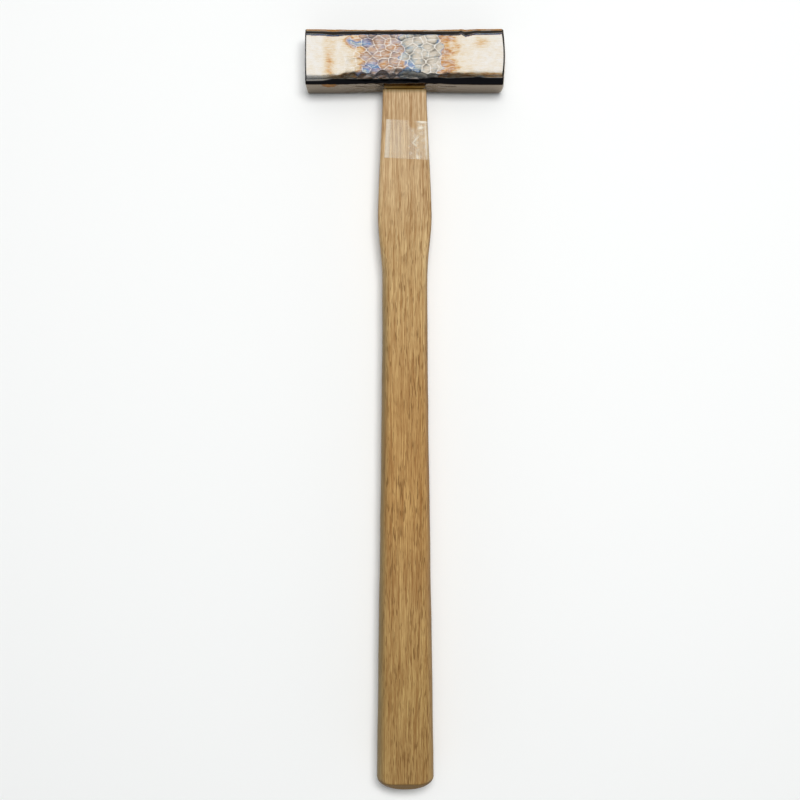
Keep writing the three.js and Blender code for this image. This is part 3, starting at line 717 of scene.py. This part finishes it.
def on_handle(distance, way, lift):
    """Points beside the handle's outline. way runs from the middle of the top round the right side."""
    half_width, half_thickness, radius = handle_section(distance)
    flat_top = half_width - radius
    flat_side = 2 * (half_thickness - radius)
    arc = radius * math.pi / 2
    bend_1 = np.clip((way - flat_top) / radius, 0, math.pi / 2)
    down = np.clip(way - flat_top - arc, 0, flat_side)
    bend_2 = np.clip((way - flat_top - arc - flat_side) / radius, 0, math.pi / 2)
    back = np.clip(way - flat_top - 2 * arc - flat_side, 0, None)
    bend = bend_1 + bend_2
    x = np.minimum(way, flat_top) + (radius + lift) * np.sin(bend) - back
    z = half_thickness - radius - down + (radius + lift) * np.cos(bend)
    return np.stack([HANDLE_X + x, NEAR_Y - distance, AXIS_Z + z], axis=-1)


def tape_veil_and_glint(x, distance):
    """How milky the strip is, for places across the handle and their distance from the head: a light even
    bloom, more of it at the lifted end and in blisters, less where it sticks well, and a painted highlight in
    a narrow streak along the right edge."""
    # Middle across and along, half sizes, lean of an oval, and how much it adds.
    patches = [
        (-8.0, 24.5, 1.4, 30.0, -0.05, 0.27), (3.6, 17.5, 1.9, 2.8, 0.3, -0.3),
        (8.0, 16.6, 2.0, 0.6, 0.3, 0.55), (7.3, 19.3, 1.5, 0.8, -0.5, 0.5),
        (5.0, 24.6, 0.7, 1.8, -0.8, 0.4), (4.7, 27.0, 0.6, 1.1, 1.0, 0.35),
        # The narrow streak at 9.7 paints the highlight along the right edge, where the film bends over the
        # handle's corner.
        (5.7, 32.4, 0.6, 1.6, 0.1, 0.4), (9.7, 25.0, 0.45, 9.0, 0.04, 0.45),
        (0.5, 24.0, 1.6, 9.0, 0.1, -0.06), (-3.8, 27.0, 2.0, 8.0, 0.0, 0.06),
    ]
    veil_and_glint = np.full(x.shape, THIN_VEIL)
    for patch_x, patch_distance, half_width, half_length, lean, more in patches:
        past = distance - patch_distance
        aside = x - patch_x - lean * past
        veil_and_glint += more * (1 - ease(np.hypot(aside / half_width, past / half_length) / 1.5))
    return np.clip(veil_and_glint, 0, 0.9)


def make_tape(material):
    """A strip bent round the handle: the way along it and the place across it give a point on the
    handle's outline, lifted a hair, and more in a few blisters."""
    start = TAPE_MARGIN - handle_section(np.array(TAPE_FROM_HEAD))[0]
    steps = np.linspace(0, TAPE_LENGTH, TAPE_STEPS + 1)
    along, across = np.meshgrid(steps, np.linspace(-0.5, 0.5, TAPE_ROWS + 1), indexing="ij")
    side = TAPE_WIDTH * across
    middle = start + along
    distance = TAPE_FROM_HEAD + side * math.cos(TAPE_TILT) + middle * math.sin(TAPE_TILT)
    way = start + along * math.cos(TAPE_TILT) - side * math.sin(TAPE_TILT)
    # Low blisters where the strip doesn't stick, strongest towards the right edge of the top.
    blister = np.sin(way * 1.3 + side * 0.7) * np.sin(side * 1.1 - way * 0.4 + 2)
    lift = TAPE_LIFT + BLISTER_LIFT * np.clip(blister, 0, 1) ** 2 * np.exp(-(((way - 6) / 3) ** 2))
    points = on_handle(distance, way, lift)
    faces = grid_faces(*along.shape, closed=False)[..., ::-1].reshape(-1, 4)
    values = {"veil_and_glint": tape_veil_and_glint(way, distance).ravel()}
    piece = new_piece("clear_tape_strip", points.reshape(-1, 3), faces.tolist(), material, values)
    film = piece.modifiers.new("film", "SOLIDIFY")
    film.thickness = TAPE_FILM * MM
    film.offset = 1
    return piece


def make_wedge(material):
    """The wedge's struck end: a bar with bulged sides, whose edges roll over a little."""
    # How far each ring stands out of the tongue's end, and how far its sides bulge.
    profile = [(-WEDGE_SHOWN, 0.0), (-0.3, 0.0), (0.0, 0.08), (WEDGE_PROUD * 0.6, 0.05), (WEDGE_PROUD, -0.12)]
    rows = []
    for up, out in profile:
        x, z = rounded_ring(WEDGE_WIDTH / 2 + out, WEDGE_THICKNESS / 2 + out, WEDGE_EDGE_RADIUS)
        turned_x = x * math.cos(WEDGE_SLANT) + z * math.sin(WEDGE_SLANT)
        turned_z = -x * math.sin(WEDGE_SLANT) + z * math.cos(WEDGE_SLANT)
        level = HEAD_Y + EYE_MOUTH - END_RECESS + up
        rows.append(np.column_stack([turned_x + HANDLE_X, np.full(len(x), level), turned_z + AXIS_Z]))
    size = len(rows), len(rows[0])
    faces = grid_faces(*size, closed=True).reshape(-1, 4).tolist() + end_fans(*size)
    hubs = np.array([[HANDLE_X, rows[0][0, 1], AXIS_Z], [HANDLE_X, rows[-1][0, 1], AXIS_Z]])
    return new_piece("wedge_end", np.concatenate([*rows, hubs]), faces, material)


def hammered_steel():
    """Carbon steel, hammered and then heated: polished ridges and ends mirror the light, and the dents
    keep temper colours from straw through brown and purple to blue."""
    material, tree, shader = new_material("planished_tempered_steel")
    place = add(tree, "TexCoord").outputs["Object"]
    drawn = add(tree, "Mapping", {"Vector": place, "Scale": (1 / (2.6 * MM), 1 / (0.5 * MM), 1 / (0.5 * MM))})
    noise = {"Vector": drawn.outputs[0], "Scale": 1.0, "Detail": 3.0, "Roughness": 0.6}
    streak = add(tree, "TexNoise", noise)
    heat = add(tree, "Attribute", attribute_name="oxide")
    # Oxide is thicker where there is some, so the streaks grow with it.
    channel = add(tree, "SeparateXYZ", {0: streak.outputs["Color"]})
    swing = add(tree, "Math", {0: channel.outputs[0], 1: 0.5}, operation="SUBTRACT")
    much = add(tree, "MapRange", {0: heat.outputs["Fac"], 1: 0.0, 2: 0.4, 3: 0.19, 4: 0.42})
    moved = add(tree, "Math", {0: swing.outputs[0], 1: much.outputs[0], 2: heat.outputs["Fac"]},
                operation="MULTIPLY_ADD")
    # The flame didn't heat it evenly, so the colours also wander from dent to dent.
    flame = add(tree, "TexNoise", {"Vector": place, "Scale": 1 / (2.6 * MM), "Detail": 2.0})
    wander = add(tree, "Math", {0: flame.outputs[0], 1: 0.5}, operation="SUBTRACT")
    moved = add(tree, "Math", {0: wander.outputs[0], 1: much.outputs[0], 2: moved.outputs[0]},
                operation="MULTIPLY_ADD")
    colours = [
        (0.0, "#CECBC6"), (0.12, "#CABFAC"), (0.22, "#C5B398"), (0.33, "#BA935C"), (0.42, "#A36C34"),
        (0.5, "#A98E7A"), (0.57, "#A08C87"), (0.64, "#8A7C88"), (0.72, "#6D7095"), (0.8, "#587CA3"),
        (0.9, "#959E9F"), (1.0, "#B4AA9B"),
    ]
    temper = add(tree, "ValToRGB", {0: moved.outputs[0]}, stops=colours)
    dent = add(tree, "Attribute", attribute_name="dent")
    rubbed = add(tree, "MapRange", {0: channel.outputs[1], 1: 0.36, 2: 0.64, 3: 0.55, 4: 1.1})
    kept = add(tree, "MapRange", {0: dent.outputs["Fac"], 1: 0.0, 2: 1.0, 3: 0.12, 4: 1.0})
    patchy = add(tree, "Math", {0: rubbed.outputs[0], 1: kept.outputs[0]}, operation="MULTIPLY")
    tint = add(tree, "Attribute", attribute_name="tint")
    tone = add(tree, "Math", {0: patchy.outputs[0], 1: tint.outputs["Fac"]}, operation="MAXIMUM")
    polished = linear("#D0CDC8")
    body = add(tree, "Mix", {0: tone.outputs[0], 6: polished, 7: temper.outputs[0]}, data_type="RGBA")
    scale = add(tree, "Attribute", attribute_name="scale")
    # Black on the chamfers is partly scale, partly a painted dark reflection; the eye's sides keep brown
    # scale.
    black, brown, pale_brown = linear("#18181B"), linear("#16110D"), linear("#5E4C3A")
    rusty = add(tree, "Mix", {0: streak.outputs[0], 6: brown, 7: pale_brown}, data_type="RGBA")
    scale_and_reflection_colour = add(tree, "Mix", {0: heat.outputs["Fac"], 6: black, 7: rusty.outputs[2]}, data_type="RGBA")
    layers = {0: scale.outputs["Fac"], 6: body.outputs[2], 7: scale_and_reflection_colour.outputs[2]}
    coloured = add(tree, "Mix", layers, data_type="RGBA")
    # Above 1 the tint stands for rust, which is dull and no metal.
    rust = add(tree, "Math", {0: tint.outputs["Fac"], 1: 1.0}, operation="SUBTRACT", use_clamp=True)
    ochre = linear("#94652B")
    rusted = add(tree, "Mix", {0: rust.outputs[0], 6: coloured.outputs[2], 7: ochre}, data_type="RGBA")
    tree.links.new(rusted.outputs[2], shader.inputs["Base Color"])
    metal = add(tree, "Math", {0: 1.0, 1: rust.outputs[0]}, operation="SUBTRACT")
    tree.links.new(metal.outputs[0], shader.inputs["Metallic"])
    # Thin oil left on the steel warms what it mirrors at a low angle.
    shader.inputs["Specular Tint"].default_value = linear("#F6ECDF")
    rough = add(tree, "MapRange", {0: dent.outputs["Fac"], 1: 0.0, 2: 1.0, 3: 0.15, 4: 0.22})
    dull = add(tree, "MapRange", {0: rust.outputs[0], 1: 0.0, 2: 1.0, 3: rough.outputs[0], 4: 0.9})
    tree.links.new(dull.outputs[0], shader.inputs["Roughness"])
    bump = add(tree, "Bump", {"Height": streak.outputs[0], "Strength": 0.25, "Distance": 0.12 * MM})
    tree.links.new(bump.outputs[0], shader.inputs["Normal"])
    return material


def oiled_oak():
    """Oak, planed and scraped, darker towards the butt: long pale and brown fibres, and short dark pores
    where the vessels are cut open. Painted shade darkens its left side, its right edge, the butt's bevel and
    the joint."""
    material, tree, shader = new_material("oiled_oak")
    place = add(tree, "TexCoord").outputs["Object"]
    sway = add(tree, "TexNoise", {"Vector": place, "Scale": 1 / (45 * MM), "Detail": 1.0})
    sway_by = add(tree, "VectorMath", {0: sway.outputs["Color"], 1: (2.2 * MM, 0, 2.2 * MM), 2: place},
                  operation="MULTIPLY_ADD")
    # Width and length of each kind of streak, its detail, and a place in the noise of its own.
    kinds = {
        "growth bands": (3.2, 160, 2.0, 3.0),
        "fibres": (0.65, 30, 3.0, 9.0),
        "short fibres": (0.32, 5, 2.0, 15.0),
        "crowded pores": (4, 45, 1.0, 33.0),
        "pores": (0.36, 6, 1.0, 21.0),
    }
    streaks = {}
    for kind, (width, length, detail, spot) in kinds.items():
        size = (1 / (width * MM), 1 / (length * MM), 1 / (width * MM))
        drawn = add(tree, "Mapping", {"Vector": sway_by.outputs[0], "Location": (spot, 0, 0), "Scale": size})
        noise = add(tree, "TexNoise", {"Vector": drawn.outputs[0], "Scale": 1.0, "Detail": detail})
        streaks[kind] = noise.outputs[0]
    split = add(tree, "SeparateXYZ", {0: place})
    low, high = handle_low[1] * MM, handle_high[1] * MM
    along = add(tree, "MapRange", {0: split.outputs[1], 1: low, 2: high})
    tones = [
        (0.0, "#9D7B48"), (0.13, "#A27F4A"), (0.25, "#A6814D"), (0.38, "#AC834C"), (0.51, "#AB834E"),
        (0.645, "#B6925F"), (0.72, "#B69464"), (0.8, "#BA996E"), (1.0, "#BA9B76"),
    ]
    base = add(tree, "ValToRGB", {0: along.outputs[0]}, stops=tones)
    broad = add(tree, "MapRange", {0: streaks["growth bands"], 1: 0.3, 2: 0.7, 3: 0.88, 4: 1.12})
    fine = add(tree, "MapRange", {0: streaks["fibres"], 1: 0.33, 2: 0.67, 3: 0.72, 4: 1.28})
    short = add(tree, "MapRange", {0: streaks["short fibres"], 1: 0.3, 2: 0.7, 3: 0.82, 4: 1.18})
    both = add(tree, "Math", {0: broad.outputs[0], 1: fine.outputs[0]}, operation="MULTIPLY")
    both = add(tree, "Math", {0: both.outputs[0], 1: short.outputs[0]}, operation="MULTIPLY")
    # Pale fibres are creamier than the base tone, and dark ones more brown.
    share = add(tree, "MapRange", {0: both.outputs[0], 1: 0.6, 2: 1.4})
    browner, creamier = (0.66, 0.52, 0.36), (1.34, 1.48, 1.64)
    shade = add(tree, "Mix", {0: share.outputs[0], 4: browner, 5: creamier}, data_type="VECTOR")
    toned = add(tree, "VectorMath", {0: base.outputs[0], 1: shade.outputs[1]}, operation="MULTIPLY")
    crowd = add(tree, "MapRange", {0: streaks["crowded pores"], 1: 0.35, 2: 0.65, 3: 0.64, 4: 0.55})
    over = add(tree, "Math", {0: streaks["pores"], 1: crowd.outputs[0]}, operation="SUBTRACT")
    # Near the head the wood is cleaner, so its pores show less.
    strength = add(tree, "MapRange", {0: along.outputs[0], 1: 0.6, 2: 0.85, 3: 0.75, 4: 0.4})
    pores = add(tree, "MapRange", {0: over.outputs[0], 1: 0.0, 2: 0.06, 3: 0.0, 4: strength.outputs[0]})
    dark = linear("#6E4A1E")
    pored = add(tree, "Mix", {0: pores.outputs[0], 6: toned.outputs[0], 7: dark}, data_type="RGBA")
    # Painted shade: the left side and the shoulder beside the kerf are mixed towards a dull olive brown.
    painted_shade = add(tree, "Attribute", attribute_name="painted_shade")
    painted_shade_share = add(tree, "Math", {0: painted_shade.outputs["Fac"], 1: 0.68}, operation="MULTIPLY")
    dull, oil_and_shade_brown, kerf_shade_colour = linear("#655A38"), linear("#62460C"), linear("#15100A")
    shaded_wood = add(tree, "Mix", {0: painted_shade_share.outputs[0], 6: pored.outputs[2], 7: dull}, data_type="RGBA")
    # Oil and painted shade darken the joint, the butt's bevel and the right edge towards dark brown; painted
    # shade makes the kerf nearly black.
    oil_and_shade = add(tree, "Attribute", attribute_name="oil_and_shade")
    oil_and_shade_share = add(tree, "Math", {0: oil_and_shade.outputs["Fac"], 1: 0.85}, operation="MULTIPLY")
    oil_and_shaded_wood = add(tree, "Mix", {0: oil_and_shade_share.outputs[0], 6: shaded_wood.outputs[2], 7: oil_and_shade_brown}, data_type="RGBA")
    # Far above 1, the value stands for the painted shade that fills the kerf.
    kerf_shade = add(tree, "Math", {0: oil_and_shade.outputs["Fac"], 1: 1.3}, operation="SUBTRACT", use_clamp=True)
    wood = add(tree, "Mix", {0: kerf_shade.outputs[0], 6: oil_and_shaded_wood.outputs[2], 7: kerf_shade_colour}, data_type="RGBA")
    tree.links.new(wood.outputs[2], shader.inputs["Base Color"])
    shader.inputs["Roughness"].default_value = 0.55
    shader.inputs["IOR"].default_value = 1.45
    bump = add(tree, "Bump", {"Height": fine.outputs[0], "Strength": 0.25, "Distance": 0.15 * MM})
    tree.links.new(bump.outputs[0], shader.inputs["Normal"])
    return material


def dull_steel():
    """Mild steel, sheared and driven with a hammer: grey, scuffed and only half bright."""
    material, tree, shader = new_material("driven_mild_steel")
    place = add(tree, "TexCoord").outputs["Object"]
    scuffs = add(tree, "TexNoise", {"Vector": place, "Scale": 1 / (0.9 * MM), "Detail": 4.0})
    greys = [(0.35, "#6B6660"), (0.65, "#A5A098")]
    colour = add(tree, "ValToRGB", {0: scuffs.outputs[0]}, stops=greys)
    tree.links.new(colour.outputs[0], shader.inputs["Base Color"])
    shader.inputs["Metallic"].default_value = 1
    shader.inputs["Roughness"].default_value = 0.45
    return material


def clear_film():
    """Cellulose film tape, cast and coated: clear, with a milky bloom where air got under the glue, and a
    painted highlight along the right edge.
    """
    material, tree, shader = new_material("clear_film_tape")
    place = add(tree, "TexCoord").outputs["Object"]
    air = add(tree, "TexNoise", {"Vector": place, "Scale": 1 / (1.2 * MM), "Detail": 3.0})
    swing = add(tree, "MapRange", {0: air.outputs[0], 1: 0.3, 2: 0.7, 3: 0.9, 4: 1.1})
    # The stored amount holds the milky bloom and a painted highlight along the right edge.
    stored_veil_and_glint = add(tree, "Attribute", attribute_name="veil_and_glint")
    veil_and_glint = add(tree, "Math", {0: stored_veil_and_glint.outputs["Fac"], 1: swing.outputs[0]}, operation="MULTIPLY")
    shader.inputs["Base Color"].default_value = linear("#FFF8E4")
    shader.inputs["Roughness"].default_value = 0.25
    tree.links.new(veil_and_glint.outputs[0], shader.inputs["Alpha"])
    return material


def white_paper():
    """Cartridge paper, calendered: matt white."""
    material, _, shader = new_material("white_paper")
    shader.inputs["Base Color"].default_value = linear("#F6F6F5")
    shader.inputs["Roughness"].default_value = 0.9
    return material


def make_floor():
    corners = PAPER_HALF * np.array([[-1, -1, 0], [1, -1, 0], [1, 1, 0], [-1, 1, 0]])
    floor = new_piece("paper", corners, [[0, 1, 2, 3]], white_paper())


def make_light():
    """A sky that holds a softbox, dim round it and pale at the horizon, and a lamp that casts shadows."""
    world = bpy.data.worlds.new("studio")
    bpy.context.scene.world = world
    world.use_nodes = True
    tree = world.node_tree
    tree.nodes.clear()
    way = add(tree, "TexCoord").outputs["Generated"]
    tilt = math.radians(SOFTBOX_TILT)
    aim = (0.0, math.sin(tilt), math.cos(tilt))
    facing = add(tree, "VectorMath", {0: way, 1: aim}, operation="DOT_PRODUCT")
    off = add(tree, "Math", {0: facing.outputs["Value"]}, operation="ARCCOSINE")
    turned = add(tree, "MapRange", {0: off.outputs[0], 1: 0.0, 2: math.pi})
    # Degrees from the middle of the softbox: its bright face, its soft rim, a dim room, and a pale horizon.
    sky = [
        (0, "#FFFFFF"), (14, "#FFFEFC"), (20, "#C8C8C6"), (27, "#8A8C8E"), (36, "#4C5054"), (46, "#3C4044"),
        (54, "#505356"), (66, "#8C8E8F"), (80, "#B4B4B3"), (180, "#BEBEBD"),
    ]
    stops = [(degrees / 180, colour) for degrees, colour in sky]
    shade = add(tree, "ValToRGB", {0: turned.outputs[0]}, stops=stops)
    light = add(tree, "Background", {0: shade.outputs[0], 1: SOFTBOX_GLOW})
    add(tree, "OutputWorld", {"Surface": light.outputs[0]})
    lamp = bpy.data.lights.new("window", "AREA")
    lamp.shape = "ELLIPSE"
    lamp.size = LAMP_LENGTH * MM
    lamp.size_y = LAMP_WIDTH * MM
    lamp.energy = LAMP_POWER
    lamp.color = LAMP_COLOUR
    holder = bpy.data.objects.new("window", lamp)
    holder.location = np.array(LAMP_PLACE) * MM
    towards = np.array(LAMP_AIM) * MM - np.array(holder.location)
    holder.rotation_mode = "QUATERNION"
    holder.rotation_quaternion = Vector(towards).to_track_quat("-Z", "Y")
    holder.visible_glossy = False
    bpy.context.collection.objects.link(holder)


def make_camera():
    camera = bpy.data.cameras.new("overhead")
    camera.sensor_width = SENSOR
    camera.lens = LENS
    camera.clip_end = CLIP_END * MM
    holder = bpy.data.objects.new("overhead", camera)
    holder.location = (CAMERA_X * MM, CAMERA_Y * MM, CAMERA_HEIGHT * MM)
    holder.rotation_euler = (0.0, 0.0, CAMERA_ROLL)
    bpy.context.collection.objects.link(holder)
    bpy.context.scene.camera = holder


mild_steel = dull_steel()
head = make_head(hammered_steel())
eye_wall = make_eye_wall(mild_steel)
handle = make_handle(oiled_oak())
tape = make_tape(clear_film())
wedge = make_wedge(mild_steel)
slots = [
    (head, "head_steel"), (eye_wall, "head_steel"), (handle, "oak"), (tape, "tape_film"),
    (wedge, "wedge_steel"),
]
for piece, slot in slots:
    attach(piece, "root")
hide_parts("hammer_head")
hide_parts("handle")
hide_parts("clear_tape")
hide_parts("steel_wedge")
make_floor()
make_light()
make_camera()
bpy.context.scene.view_settings.view_transform = "Standard"
